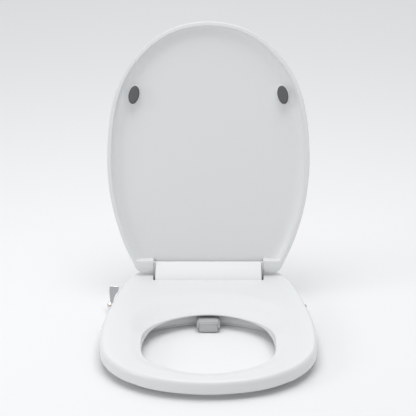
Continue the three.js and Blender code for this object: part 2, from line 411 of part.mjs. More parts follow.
flap = flap.add(cylX(1.55, -16.4, 16.4, GUARD_Y, GUARD_Z, 12)).subtract(cylX(1.05, -20, 20, GUARD_Y, GUARD_Z, 10));
put(baseGroup, "nozzle_guard", flap, paleGrey());

// ---------------------------------------------------------------- side lever
leverGroup.position.set(0, LEVER_Y, LEVER_Z);
leverGroup.rotation.x = rad(-LEVER_LEAN);
const paddle = [[-178.2, 4], [-173.2, 4], [-171.4, 14], [-168, 21], [-163.6, 26], [-163, 34.5], [-179.6, 36], [-180.2, 24], [-179, 12]];
const paddleGeo = new THREE.ExtrudeGeometry(shapeOf(paddle), { depth: 4.6, bevelEnabled: false });
paddleGeo.applyMatrix4(new THREE.Matrix4().set(1, 0, 0, 0, 0, 0, 1, -2.3, 0, 1, 0, 0, 0, 0, 0, 1));
put(leverGroup, "control_lever", solid(solidSafe(paddleGeo)).add(cylX(6.6, -182.4, -177.4, 0, 0, 28)).subtract(cylX(2.4, -190, -170, 0, 0, 16)), chrome());
put(leverGroup, "valve_spindle", cylX(3.05, -177, -142, 0, 0, 16).add(cylX(2.05, -181, -176.9, 0, 0, 16)), brass());
put(leverGroup, "lever_screw_cap", cylX(4.2, -184, -182.7, 0, 0, 20), chrome());

// ---------------------------------------------------------------- quick-release button
put(baseGroup, "release_button", prismX(oval(BUTTON_Y, BUTTON_Z - 1.6, 6.5, 3, 16), 164, 177.6), grey());

export default part;
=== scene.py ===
import json
import math
import bpy
import bmesh
import numpy as np
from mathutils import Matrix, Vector


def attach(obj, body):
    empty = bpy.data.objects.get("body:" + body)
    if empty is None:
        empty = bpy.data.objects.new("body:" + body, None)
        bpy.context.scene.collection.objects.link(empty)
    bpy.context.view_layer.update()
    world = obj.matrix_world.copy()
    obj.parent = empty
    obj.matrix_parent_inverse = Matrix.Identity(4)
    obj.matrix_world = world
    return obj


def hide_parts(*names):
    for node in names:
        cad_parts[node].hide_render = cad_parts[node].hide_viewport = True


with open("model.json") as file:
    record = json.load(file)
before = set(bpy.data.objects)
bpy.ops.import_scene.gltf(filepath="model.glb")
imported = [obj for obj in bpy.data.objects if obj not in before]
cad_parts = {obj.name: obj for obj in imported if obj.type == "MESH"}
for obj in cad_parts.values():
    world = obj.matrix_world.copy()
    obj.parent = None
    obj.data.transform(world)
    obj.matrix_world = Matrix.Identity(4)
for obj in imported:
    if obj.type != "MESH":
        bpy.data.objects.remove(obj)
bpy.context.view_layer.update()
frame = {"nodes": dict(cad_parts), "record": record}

scene = bpy.context.scene

# ------------------------------------------------------------------ dimensions, millimetres
AXIS_Y, AXIS_Z = 15.0, 59.5
SLOPE, LID_OPEN = math.radians(2), math.radians(102)
SEAT_TOP, SEAT_BOTTOM = -12.0, -34.0
NOTCH_X, NOTCH_S = 101.3, 28.0
WALL = 3.0
RIM, DISH = -10.0, 14.0
LID_CUT, BARREL_R = 11.4, 8.6
EYE_R = 10.8
BLOCK_X, BLOCK_R = 98.0, 12.15
PIN_R, BORE_R = 4.0, 4.35
BASE_TOP, TRAY_TOP = 20.6, 3.2
NOZZLE_TILT, NOZZLE_AXIS_Z = math.radians(3), 14.3
NOZZLE_R, NOZZLE_X = 3.8, 6.0
GUARD_Y, GUARD_Z = -152.6, 16.2
LEVER_Y, LEVER_Z, LEVER_LEAN = -54.0, 12.0, math.radians(24)
INLET_R, INLET_Z = 7.15, 11.6
BUTTON_Y, BUTTON_Z = -64.0, 15.6
SEAT_OUT = [[0, -17.6], [60, -17.6], [100, -17.6], [118, -17.6], [127, -15.6], [133, -10], [138, -1.5], [142.5, 8], [150, 28], [157, 54], [163, 80], [168.3, 110], [174.6, 148], [179.6, 180], [183, 215], [184.4, 250], [184, 280], [182.2, 306], [178.4, 330], [170.2, 354], [157.6, 378], [138.5, 402], [123, 415], [106, 427.5], [84.5, 438.5], [58, 447], [30, 452.4], [0, 454.4]]
LID_OUT = [[0, -7], [60, -7], [105, -7], [120, -7], [127.5, -5.6], [132, -1.5], [139.4, 13], [149.2, 33], [157.7, 53], [164.6, 73], [170.6, 93], [175.4, 113], [179.4, 133], [182.2, 153], [184.1, 173], [185, 195], [184.8, 214], [184.1, 232], [182.7, 252], [180.4, 272], [177.2, 292], [172.8, 312], [166.6, 332], [157.8, 352], [146.5, 372], [131.1, 392], [111.5, 412], [97, 423.5], [82, 433], [60, 443.2], [36, 449.8], [0, 453.4]]
OPENING = [[0, 148], [21, 150.3], [36, 154.6], [50, 161], [64, 169.4], [77.5, 180.4], [88, 192], [96.4, 204.6], [102.8, 219], [107.6, 235], [111, 252], [113, 270], [113.4, 296], [112.2, 320], [109.2, 339], [104.6, 352.6], [96.8, 365], [86, 376.6], [72, 387.6], [53.6, 398.2], [27, 408.4], [0, 412]]
BASE_OUT = [[0, 50], [60, 50], [120, 50], [143, 46], [155, 34], [160.5, 10], [166.5, -20], [172.5, -45], [176.8, -64], [176.4, -86], [170.5, -112], [160, -134], [145, -149], [128, -155], [110, -153], [92, -145], [70, -132.8], [45, -122.8], [22, -117.5], [0, -116]]
SCREWS = [("left_rear", -135, 26), ("right_rear", 135, 26), ("left_front", -140, -96), ("right_front", 140, -96)]

SB, CB = math.sin(SLOPE), math.cos(SLOPE)
LS, LC = math.sin(LID_OPEN), math.cos(LID_OPEN)


# ------------------------------------------------------------------ frames
def S(x, s, h):
    """Seat plane: s forward of the hinge axis, h normal to it."""
    x, s, h = np.broadcast_arrays(np.asarray(x, float), np.asarray(s, float), np.asarray(h, float))
    return np.stack([x, AXIS_Y - s * CB - h * SB, AXIS_Z - s * SB + h * CB], -1)


def L(x, s, h):
    """The lid as closed, turned up about the axis."""
    s, h = np.asarray(s, float), np.asarray(h, float)
    return S(x, s * LC - h * LS, s * LS + h * LC)


def W(a, b, c):
    """Plain frame of the part."""
    a, b, c = np.broadcast_arrays(np.asarray(a, float), np.asarray(b, float), np.asarray(c, float))
    return np.stack([a, b, c], -1)


# ------------------------------------------------------------------ outlines
def smooth_closed(pts, count):
    """Closed centripetal Catmull-Rom through the points."""
    p = np.asarray(pts, float)
    n = len(p)
    out = []
    for k in range(count):
        t = n * k / count
        i, w = int(t), t - int(t)
        x0, x1, x2, x3 = p[(i - 1) % n], p[i % n], p[(i + 1) % n], p[(i + 2) % n]
        d0, d1, d2 = (max(np.linalg.norm(b - a) ** 0.5, 1e-4) for a, b in ((x0, x1), (x1, x2), (x2, x3)))
        t1 = ((x1 - x0) / d0 - (x2 - x0) / (d0 + d1) + (x2 - x1) / d1) * d1
        t2 = ((x2 - x1) / d1 - (x3 - x1) / (d1 + d2) + (x3 - x2) / d2) * d1
        c2, c3 = -3 * x1 + 3 * x2 - 2 * t1 - t2, 2 * x1 - 2 * x2 + t1 + t2
        out.append(x1 + t1 * w + c2 * w * w + c3 * w ** 3)
    return np.array(out)


def smooth_open(pts, per):
    """Open Catmull-Rom, per steps between points, for profiles."""
    p = np.asarray(pts, float)
    q = np.vstack([2 * p[0] - p[1], p, 2 * p[-1] - p[-2]])
    out = []
    for i in range(len(p) - 1):
        x0, x1, x2, x3 = q[i:i + 4]
        d0, d1, d2 = (max(np.linalg.norm(b - a) ** 0.5, 1e-4) for a, b in ((x0, x1), (x1, x2), (x2, x3)))
        t1 = ((x1 - x0) / d0 - (x2 - x0) / (d0 + d1) + (x2 - x1) / d1) * d1
        t2 = ((x2 - x1) / d1 - (x3 - x1) / (d1 + d2) + (x3 - x2) / d2) * d1
        c2, c3 = -3 * x1 + 3 * x2 - 2 * t1 - t2, 2 * x1 - 2 * x2 + t1 + t2
        for k in range(per):
            w = k / per
            out.append(x1 + t1 * w + c2 * w * w + c3 * w ** 3)
    out.append(p[-1])
    return np.array(out)


def whole(half, count):
    mirrored = [[-a, b] for a, b in half[1:-1][::-1]]
    return smooth_closed(half + mirrored, count)


def ray(poly, cx, cy, ang):
    """Radius from the centre to the polygon, angle measured from +y."""
    a = poly
    b = np.roll(poly, -1, 0)
    ex, ey = (b - a).T
    out = []
    for t in ang:
        ux, uy = math.sin(t), math.cos(t)
        den = ux * ey - uy * ex
        den = np.where(np.abs(den) < 1e-12, 1e-12, den)
        r = ((a[:, 0] - cx) * ey - (a[:, 1] - cy) * ex) / den
        w = ((a[:, 0] - cx) * uy - (a[:, 1] - cy) * ux) / den
        ok = (r > 0) & (w >= -1e-9) & (w <= 1 + 1e-9)
        out.append(r[ok].max())
    return np.array(out)


def distance(poly, x, y):
    a = poly
    b = np.roll(poly, -1, 0)
    d = b - a
    px, py = x[:, None] - a[None, :, 0], y[:, None] - a[None, :, 1]
    t = np.clip((px * d[:, 0] + py * d[:, 1]) / (d ** 2).sum(1), 0, 1)
    return np.sqrt((px - t * d[:, 0]) ** 2 + (py - t * d[:, 1]) ** 2).min(1)


def inset(poly, cx, cy, ang, d):
    """Radius at which a point on the ray is d inside the polygon."""
    hi = ray(poly, cx, cy, ang)
    if d <= 0:
        return hi
    lo = np.zeros_like(hi)
    for _ in range(24):
        m = (lo + hi) / 2
        out = distance(poly, cx + m * np.sin(ang), cy + m * np.cos(ang)) > d
        lo, hi = np.where(out, m, lo), np.where(out, hi, m)
    return lo


def arc(cx, cy, rx, ry, a0, a1, n):
    t = np.radians(np.linspace(a0, a1, n + 1))
    return np.stack([cx + rx * np.cos(t), cy + ry * np.sin(t)], -1)


def oval(cx, cy, a, b, n, turn=0.0):
    t = 2 * np.pi * np.arange(n) / n
    u, v = a * np.cos(t), b * np.sin(t)
    return np.stack([cx + u * math.cos(turn) - v * math.sin(turn), cy + u * math.sin(turn) + v * math.cos(turn)], -1)


def fillet(pts, radii, n=6):
    """Polygon with its corners rounded."""
    p = [np.array(q, float) for q in pts]
    if np.isscalar(radii):
        radii = [radii] * len(p)
    out = []
    for i, c in enumerate(p):
        r = radii[i]
        a, b = p[i - 1] - c, p[(i + 1) % len(p)] - c
        la, lb = np.linalg.norm(a), np.linalg.norm(b)
        a, b = a / la, b / lb
        half = math.acos(max(-1, min(1, float(a @ b)))) / 2
        if r <= 0 or abs(half - math.pi / 2) < 1e-3:
            out.append(c)
            continue
        k = min(r / math.tan(half), la * 0.49, lb * 0.49)
        r = k * math.tan(half)
        m = c + (a + b) / np.linalg.norm(a + b) * (r / math.sin(half))
        v0, v1 = c + a * k - m, c + b * k - m
        for j in range(n + 1):
            t = j / n
            w = math.acos(max(-1, min(1, float(v0 @ v1) / (r * r))))
            v = v0 if w < 1e-6 else (v0 * math.sin((1 - t) * w) + v1 * math.sin(t * w)) / math.sin(w)
            out.append(m + v)
    return np.array(out)


# ------------------------------------------------------------------ meshes, built in millimetres
def volume(V, F):
    v = 0.0
    for f in F:
        for i in range(1, len(f) - 1):
            a, b, c = V[f[0]], V[f[i]], V[f[i + 1]]
            v += float(np.dot(a, np.cross(b, c)))
    return v


def make(name, V, F):
    V = np.asarray(V, float)
    if volume(V, F) < 0:
        F = [f[::-1] for f in F]
    me = bpy.data.meshes.new(name)
    me.from_pydata([tuple(v) for v in V], [], [tuple(f) for f in F])
    me.update()
    o = bpy.data.objects.new(name, me)
    scene.collection.objects.link(o)
    return o


def grid(name, loops, closed):
    """A closed solid from rings of the same count: a torus if closed, else capped at both ends."""
    loops = [np.asarray(l, float) for l in loops]
    n = len(loops[0])
    V = np.vstack(loops)
    F = []
    rows = len(loops) if closed else len(loops) - 1
    for j in range(rows):
        j2 = (j + 1) % len(loops)
        for i in range(n):
            k = (i + 1) % n
            F.append((j * n + i, j * n + k, j2 * n + k, j2 * n + i))
    if not closed:
        base = len(V)
        V = np.vstack([V, loops[0].mean(0)[None], loops[-1].mean(0)[None]])
        last = (len(loops) - 1) * n
        for i in range(n):
            k = (i + 1) % n
            F.append((base, k, i))
            F.append((base + 1, last + i, last + k))
    return make(name, V, F)


def prism(name, poly, f0, f1):
    """A prism between two placements of the same polygon: f0 and f1 map (n, 2) to (n, 3)."""
    poly = np.asarray(poly, float)
    n = len(poly)
    V = np.vstack([f0(poly), f1(poly)])
    F = [tuple(range(n))[::-1], tuple(range(n, 2 * n))]
    F += [(i, (i + 1) % n, n + (i + 1) % n, n + i) for i in range(n)]
    return make(name, V, F)


def prism_x(name, yz, x0, x1):
    return prism(name, yz, lambda p: W(x0, p[:, 0], p[:, 1]), lambda p: W(x1, p[:, 0], p[:, 1]))


def prism_sh(name, sh, x0, x1):
    return prism(name, sh, lambda p: S(x0, p[:, 0], p[:, 1]), lambda p: S(x1, p[:, 0], p[:, 1]))


def prism_lid(name, sh, x0, x1):
    return prism(name, sh, lambda p: L(x0, p[:, 0], p[:, 1]), lambda p: L(x1, p[:, 0], p[:, 1]))


def prism_y(name, xz, y0, y1):
    return prism(name, xz, lambda p: W(p[:, 0], y0, p[:, 1]), lambda p: W(p[:, 0], y1, p[:, 1]))


def prism_z(name, xy, z0, z1):
    return prism(name, xy, lambda p: W(p[:, 0], p[:, 1], z0), lambda p: W(p[:, 0], p[:, 1], z1))


def block(name, x0, x1, y0, y1, z0, z1):
    return prism_z(name, [[x0, y0], [x1, y0], [x1, y1], [x0, y1]], z0, z1)


def lathe(name, profile, axis, centre, seg=48, closed=False):
    """Turns (along, radius) pairs round an axis through centre. Not closed: the ends are capped."""
    t = 2 * np.pi * np.arange(seg) / seg
    c, s = np.cos(t), np.sin(t)
    loops = []
    for a, r in profile:
        r = max(r, 0.01)
        if axis == "x":
            loops.append(W(centre[0] + a, centre[1] + r * c, centre[2] + r * s))
        elif axis == "y":
            loops.append(W(centre[0] + r * c, centre[1] + a, centre[2] + r * s))
        else:
            loops.append(W(centre[0] + r * c, centre[1] + r * s, centre[2] + a))
    return grid(name, loops, closed)


def rod(name, axis, centre, a0, a1, r, ch=0.3, seg=48, bore=0.0):
    """A turned rod or sleeve with broken edges."""
    if bore:
        prof = [(a0, bore + ch), (a0, r - ch), (a0 + ch * 0.3, r - ch * 0.3), (a0 + ch, r), (a1 - ch, r), (a1 - ch * 0.3, r - ch * 0.3), (a1, r - ch), (a1, bore + ch), (a1 - ch, bore), (a0 + ch, bore)]
        return lathe(name, prof, axis, centre, seg, True)
    prof = [(a0, r - ch), (a0 + ch * 0.3, r - ch * 0.3), (a0 + ch, r), (a1 - ch, r), (a1 - ch * 0.3, r - ch * 0.3), (a1, r - ch)]
    return lathe(name, prof, axis, centre, seg)


def boolean(a, tools, op):
    """Cuts or joins with the manifold solver, then removes the tools."""
    for b in tools:
        m = a.modifiers.new("cut", "BOOLEAN")
        m.operation = op
        m.solver = "MANIFOLD"
        m.object = b
        dg = bpy.context.evaluated_depsgraph_get()
        me = bpy.data.meshes.new_from_object(a.evaluated_get(dg))
        a.modifiers.clear()
        old = a.data
        a.data = me
        if old.users == 0:
            bpy.data.meshes.remove(old)
        if len(me.polygons) == 0:
            raise RuntimeError("empty result from a cut of " + a.name)
    for b in tools:
        me = b.data
        bpy.data.objects.remove(b)
        if me.users == 0:
            bpy.data.meshes.remove(me)
    return a


def cut(a, *tools):
    return boolean(a, tools, "DIFFERENCE")


def join(a, *tools):
    return boolean(a, tools, "UNION")


def round_edges(o, width, angle=35, segments=3, keep=None):
    """Real rounded edges where faces meet at more than the angle."""
    bm = bmesh.new()
    bm.from_mesh(o.data)
    bm.normal_update()
    lim = math.radians(angle)
    es = [e for e in bm.edges if len(e.link_faces) == 2 and e.calc_face_angle(0) > lim and (keep is None or keep(e))]
    bmesh.ops.bevel(bm, geom=es, offset=width, offset_type="OFFSET", segments=segments, profile=0.5, affect="EDGES", clamp_overlap=True)
    bm.to_mesh(o.data)
    bm.free()
    return o


# ------------------------------------------------------------------ materials
def material(name, colour, rough, metallic=0.0, grain=900.0, bump=0.02, depth=0.0004, vary=0.012, rough_vary=0.05,
             stretch=(1, 1, 1), edge=0.0, coat=0.0, spec=0.5, ior=1.5, transmission=0.0, speck=0.0):
    m = bpy.data.materials.new(name)
    m.use_nodes = True
    nt = m.node_tree
    nt.nodes.clear()
    N, K = nt.nodes.new, nt.links.new
    out = N("ShaderNodeOutputMaterial")
    b = N("ShaderNodeBsdfPrincipled")
    K(b.outputs[0], out.inputs[0])
    b.inputs["Metallic"].default_value = metallic
    b.inputs["IOR"].default_value = ior
    b.inputs["Specular IOR Level"].default_value = spec
    if coat:
        b.inputs["Coat Weight"].default_value = coat
        b.inputs["Coat Roughness"].default_value = 0.06
    if transmission:
        b.inputs["Transmission Weight"].default_value = transmission
    tc = N("ShaderNodeTexCoord")
    mp = N("ShaderNodeMapping")
    mp.inputs["Scale"].default_value = stretch
    K(tc.outputs["Object"], mp.inputs["Vector"])
    # slow drift of the moulding's tone
    n1 = N("ShaderNodeTexNoise")
    n1.inputs["Scale"].default_value = 7.0
    n1.inputs["Detail"].default_value = 3.0
    K(mp.outputs[0], n1.inputs["Vector"])
    # fine grain
    n2 = N("ShaderNodeTexNoise")
    n2.inputs["Scale"].default_value = grain
    n2.inputs["Detail"].default_value = 2.0
    K(mp.outputs[0], n2.inputs["Vector"])
    mixf = N("ShaderNodeMath")
    mixf.operation = "MULTIPLY_ADD"
    K(n2.outputs["Fac"], mixf.inputs[0])
    mixf.inputs[1].default_value = 0.25 + speck
    K(n1.outputs["Fac"], mixf.inputs[2])
    ramp = N("ShaderNodeMapRange")
    ramp.inputs["From Min"].default_value = 0.3
    ramp.inputs["From Max"].default_value = 0.95 + speck
    ramp.inputs["To Min"].default_value = 1 - vary
    ramp.inputs["To Max"].default_value = 1 + vary
    K(mixf.outputs[0], ramp.inputs["Value"])
    vm = N("ShaderNodeVectorMath")
    vm.operation = "SCALE"
    vm.inputs[0].default_value = colour
    K(ramp.outputs[0], vm.inputs["Scale"])
    K(vm.outputs[0], b.inputs["Base Color"])
    # polish varies a little from place to place
    rr = N("ShaderNodeMapRange")
    rr.inputs["From Min"].default_value = 0.1
    rr.inputs["From Max"].default_value = 0.9
    rr.inputs["To Min"].default_value = max(0.02, rough - rough_vary)
    rr.inputs["To Max"].default_value = rough + rough_vary
    K(n1.outputs["Fac"], rr.inputs["Value"])
    K(rr.outputs[0], b.inputs["Roughness"])
    bp = N("ShaderNodeBump")
    bp.inputs["Strength"].default_value = bump
    bp.inputs["Distance"].default_value = depth
    K(n2.outputs["Fac"], bp.inputs["Height"])
    if edge:
        bv = N("ShaderNodeBevel")
        bv.samples = 4
        bv.inputs["Radius"].default_value = edge
        K(bv.outputs[0], bp.inputs["Normal"])
    K(bp.outputs[0], b.inputs["Normal"])
    return m


M = {
    "white_shell": material("gloss_white_plastic", (0.80, 0.81, 0.815), 0.26, grain=420, bump=0.05, depth=0.0003, vary=0.003, rough_vary=0.015, edge=0.0007),
    # white plastic of the hood and guard flap, darkened to paint the shade that falls on them under the seat
    "pale_grey_plastic": material("pale_grey_plastic", (0.50, 0.505, 0.51), 0.32, grain=520, bump=0.06, depth=0.0003, vary=0.006, rough_vary=0.02, edge=0.0004),
    "grey_rubber": material("grey_rubber", (0.118, 0.12, 0.122), 0.72, grain=2400, bump=0.35, depth=0.0003, vary=0.06, rough_vary=0.06, speck=0.3),
    "grey_plastic": material("grey_plastic", (0.10, 0.102, 0.105), 0.45, grain=1800, bump=0.2, depth=0.0002, vary=0.04, rough_vary=0.05, speck=0.2),
    "inner_plastic": material("inner_plastic", (0.55, 0.565, 0.57), 0.5, grain=1500, bump=0.18, depth=0.0002, vary=0.03, rough_vary=0.06, speck=0.15),
    "chrome": material("chrome_plate", (0.80, 0.80, 0.83), 0.12, metallic=1.0, grain=500, bump=0.03, depth=0.0002, vary=0.02, rough_vary=0.03),
    "brass": material("machined_brass", (0.60, 0.42, 0.19), 0.3, metallic=1.0, grain=160, bump=0.12, depth=0.0002, vary=0.07, rough_vary=0.07, stretch=(1, 14, 1)),
    "stainless_steel": material("brushed_steel", (0.56, 0.57, 0.58), 0.32, metallic=1.0, grain=110, bump=0.10, depth=0.0002, vary=0.06, rough_vary=0.08, stretch=(1, 22, 22)),
    "hose": material("clear_hose", (0.74, 0.77, 0.79), 0.38, grain=260, bump=0.08, depth=0.0002, vary=0.03, rough_vary=0.05, transmission=0.25),
}


# ------------------------------------------------------------------ placing
def place(o, body, slot_name, nodes, mat=None, sharp=34, smooth=True):
    """Scales to metres, shades, gives the finish, rides and replaces."""
    me = o.data
    n = len(me.vertices)
    co = np.empty(n * 3)
    me.vertices.foreach_get("co", co)
    me.vertices.foreach_set("co", co * 0.001)
    me.update()
    bm = bmesh.new()
    bm.from_mesh(me)
    bmesh.ops.remove_doubles(bm, verts=bm.verts, dist=1e-6)
    bmesh.ops.dissolve_degenerate(bm, dist=1e-6, edges=bm.edges)
    bm.normal_update()
    lim = math.radians(sharp)
    for f in bm.faces:
        f.smooth = smooth
    for e in bm.edges:
        if len(e.link_faces) == 2:
            e.smooth = e.calc_face_angle(0) < lim
    bm.to_mesh(me)
    bm.free()
    me.materials.clear()
    me.materials.append(mat or M[slot_name])
    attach(o, body)
    if nodes:
        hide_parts(*nodes)
    return o


# ------------------------------------------------------------------ seat ring
NA = 288
ANG = 2 * np.pi * np.arange(NA) / NA
SC = 292.0
seat_poly, open_poly = whole(SEAT_OUT, 1040), whole(OPENING, 800)
RO, RI = ray(seat_poly, 0, SC, ANG), ray(open_poly, 0, SC, ANG)
rear_t = np.clip((-np.cos(ANG) - 0.15) / 0.8, 0, 1)
REAR = rear_t * rear_t * (3 - 2 * rear_t)
DROP, REACH = 3.5 + 12 * REAR, 22 + 46 * REAR
HB, BL, RD = SEAT_BOTTOM + 3 * REAR, 1.6 - 0.8 * REAR, 3.4 - 1.3 * REAR
LEN = np.minimum(REACH, RO - RI - 9)


def scoop(e):
    return np.where(e >= REACH, 0.0, -DROP * (0.5 + 0.5 * np.cos(np.pi * np.minimum(e, REACH) / REACH)))


def ring(name, cols):
    """cols: list of (radius array or number, h array or number)."""
    return grid(name, [S(np.broadcast_to(r, (NA,)) * np.sin(ANG), SC + np.broadcast_to(r, (NA,)) * np.cos(ANG), h) for r, h in cols], True)


cols = [(RO - 1.5, SEAT_BOTTOM), (RO - 0.75, SEAT_BOTTOM + 0.25), (RO - 0.25, SEAT_BOTTOM + 0.9), (RO, SEAT_BOTTOM + 2.2), (RO, -28.0), (RO, -24.0), (RO, -20.5)]
for t in np.radians(np.linspace(6, 90, 13)):
    cols.append((RO - 7.2 * (1 - np.cos(t)), -20.0 + (SEAT_TOP + 20.0) * np.sin(t)))
for f in (0.35, 0.7):
    cols.append(((RO - 7.2) * (1 - f) + (RI + LEN) * f, SEAT_TOP + 0 * RO))
for f in np.linspace(1, 0, 27):
    e = 2.6 + (LEN - 2.6) * f
    cols.append((RI + e, SEAT_TOP + scoop(e)))
TOP0 = SEAT_TOP + scoop(np.full(NA, 2.6))
for t in np.radians(np.linspace(75, 5, 8)):
    cols.append((RI + 2.6 * (1 - np.cos(t)), TOP0 - RD * (1 - np.sin(t))))
cols += [(RI, (TOP0 - RD) * 0.5 + 0.5 * (HB + BL)), (RI, HB + BL), (RI + 0.2, HB + BL * 0.44), (RI + 0.6, HB + BL * 0.125), (RI + 1.3, HB)]
seat = ring("seat_ring_shell", cols)
cols = [(RO - WALL, SEAT_BOTTOM - 4), (RO - WALL, -19.5), (RO - 5, -16.6), (RO - 8.5, SEAT_TOP - WALL)]
LIP = RI + WALL + 16 * REAR
for f in np.linspace(1, 0.3, 14):
    cols.append((np.maximum(LIP, np.minimum(RO - 9, RI + LEN * f + 1.5)), SEAT_TOP - WALL + scoop(LEN * f)))
TC = SEAT_TOP + scoop(np.zeros(NA)) - WALL
cols += [(LIP, np.minimum(TC - 2.5, SEAT_BOTTOM + 6)), (LIP, SEAT_BOTTOM - 4)]
cavity = ring("cavity", cols)


def notch_poly(d, r_in=3.0):
    """Plan (x, s) of the cut-out round the hinge block, grown by d, with flared mouths."""
    x, s = NOTCH_X + d, NOTCH_S + d
    right = [(x + 34, -60.0), (x + 34, -24.0)]
    right += [tuple(p) for p in arc(x + 4.0, -16.0, 4.0, 8.0, 270, 180, 6)]
    r = r_in + d
    right += [tuple(p) for p in arc(x - r, s - r, r, r, 0, 90, 6)]
    left = [(-a, b) for a, b in right[::-1]]
    return np.array(right + left)


def notch_tool(levels):
    loops = []
    for h, d in levels:
        p = notch_poly(d)
        loops.append(S(p[:, 0], p[:, 1], h))
    return grid("notch", loops, False)


R_EDGE = 1.1
edge_levels = [(SEAT_TOP - R_EDGE + R_EDGE * math.sin(t), R_EDGE * (1 - math.cos(t))) for t in np.radians(np.linspace(0, 90, 6))]
low = [(SEAT_BOTTOM + R_EDGE * 0.7 * (1 - math.sin(t)), R_EDGE * 0.7 * (1 - math.cos(t))) for t in np.radians(np.linspace(90, 0, 5))]
nt_ = notch_poly(0)
wall_poly = notch_poly(WALL)
notch_wall = grid("notch_wall", [S(wall_poly[:, 0], wall_poly[:, 1], h) for h in (-90, 40)], False)
cavity = cut(cavity, notch_wall)
seat = cut(seat, cavity)
seat = cut(seat, notch_tool([(-90, R_EDGE * 0.7)] + low + edge_levels + [(40, R_EDGE)]))
place(seat, "seat", "white_shell", ["seat_top_shell"])

RQ = RI + WALL + 0.4 + 20 * REAR
plate = ring("seat_floor_plate", [(RO - WALL - 0.4, SEAT_BOTTOM + 1.0), (RO - WALL - 0.4, SEAT_BOTTOM + 3), (RQ, SEAT_BOTTOM + 3), (RQ, SEAT_BOTTOM + 1.0), (RQ + 0.4, SEAT_BOTTOM + 0.6), (RO - WALL - 0.8, SEAT_BOTTOM + 0.6)])
pp = notch_poly(WALL + 0.4)
plate = cut(plate, grid("notch_plate", [S(pp[:, 0], pp[:, 1], h) for h in (-90, 40)], False))
place(plate, "seat", "white_shell", ["seat_bottom_shell"])


def pad(name, loops_fn, levels, body, nodes, slot_name="grey_rubber"):
    """A domed oval pad: levels are (scale inset, height)."""
    return place(grid(name, [loops_fn(d, h) for d, h in levels], False), body, slot_name, nodes)


for name, x, s, turn in [("seat_bumper_rear_left", -148, 212, 0.08), ("seat_bumper_rear_right", 148, 212, -0.08), ("seat_bumper_front_left", -101, 385, -0.85), ("seat_bumper_front_right", 101, 385, 0.85)]:
    _, y, z = S(x, s, SEAT_BOTTOM + 0.6)
    top = z - 0.9

    def fn(d, h, x=x, y=y, turn=turn):
        p = oval(x, y, 8 - d, 12.5 - d, 48, turn)
        return W(p[:, 0], p[:, 1], h)
    levels = [(5.0, 0.0), (3.2, 0.02), (1.9, 0.3), (0.9, 0.9), (0.3, 1.8), (0.0, 3.2), (0.0, top - 1.4), (0.5, top - 1.2), (0.5, top - 0.9), (0.0, top - 0.7), (0.0, top)]
    pad("pad_" + name, fn, levels, "seat", [name])

# hinge arms: a flat eye plate round the bore, with its edges rounded
eye = arc(0, 0, EYE_R, EYE_R, -8, 188, 40)
arm_pts = np.vstack([eye, [[-EYE_R, -31], [8.5, -31]]])
pin = S(0, 0, 0)
for name, x0, x1 in [("seat_hinge_arm_left", -100.95, -98.55), ("seat_hinge_arm_right", 98.55, 100.95)]:
    arm = prism_sh("arm_" + name, arm_pts, x0, x1)
    arm = cut(arm, rod("bore", "x", (0, pin[1], pin[2]), x0 - 1, x1 + 1, BORE_R, 0.01, 48))
    arm = round_edges(arm, 0.35, 40, 2)
    place(arm, "seat", "inner_plastic", [name])


def pin_piece(name, side, body, node):
    prof = [(72.79, 2.2), (73.2, 2.6), (98.18, 2.6), (98.22, 3.6), (98.6, 4.0), (105.8, 4.0), (106.0, 3.8), (106.4, 3.8), (106.6, 4.0), (114.2, 4.0), (114.8, 3.4)]
    o = lathe(name, [(side * a, r) for a, r in prof], "x", (0, pin[1], pin[2]), 48)
    return place(o, body, "stainless_steel", [node])


pin_piece("pin_seat", 1, "seat", "seat_damper_pin")
pin_piece("pin_lid", -1, "lid", "lid_damper_pin")

# ------------------------------------------------------------------ lid
lid_poly = whole(LID_OUT, 1240)
LCN = 215.0
_cos = np.cos(ANG)


def lid_loop(d, h, s_min=None):
    r = inset(lid_poly, 0, LCN, ANG, d)
    if s_min is not None:
        lim = np.where(_cos < -1e-6, (LCN - s_min) / np.maximum(-_cos, 1e-6), 1e9)
        r = np.minimum(r, lim)
    return L(r * np.sin(ANG), LCN + r * _cos, h)


outer = [(1.2, RIM), (0.75, RIM + 0.12), (0.35, RIM + 0.45), (0.08, RIM + 0.95), (0.0, RIM + 1.7)]
outer += [tuple(p) for p in smooth_open([[0.05, -6.5], [0.5, -4], [2.2, 1.5], [5.5, 5.6], [10.5, 7.9], [18, 8.6], [60, 9.5], [120, 9.9]], 4)]
lid = grid("lid_panel_shell", [lid_loop(d, h) for d, h in outer], False)


def quarter(t):
    return RIM + DISH * math.sqrt(max(0.0, 1 - (1 - t) ** 2))


dish_loops = [(6.6, RIM - 4, 14.3), (6.75, RIM - 0.02, 14.4), (6.82, RIM + 0.12, 14.6), (7.05, RIM + 0.42, 14.9), (7.4, RIM + 0.85, 15.2)]
for t in np.concatenate([[0.012, 0.03, 0.055], np.linspace(0.09, 1, 18)]):
    q = quarter(t)
    d = np.interp(t, [0, 0.03, 0.1, 0.25, 0.47, 0.74, 1], [7.6, 8.5, 10.1, 13.4, 18.4, 24.6, 31.5])
    s_min = np.interp(t, [0, 0.03, 0.1, 0.25, 0.47, 0.74, 1], [15.3, 15.8, 16.2, 16.8, 17.3, 17.8, 18.2])
    if q > RIM + 1.2:
        dish_loops.append((float(d), q, float(s_min)))
dish_loops += [(45.0, RIM + DISH + 0.25, 18.4), (90.0, RIM + DISH + 0.7, 19.0)]


def dish_solid(name):
    return grid(name, [lid_loop(*d) for d in dish_loops], False)


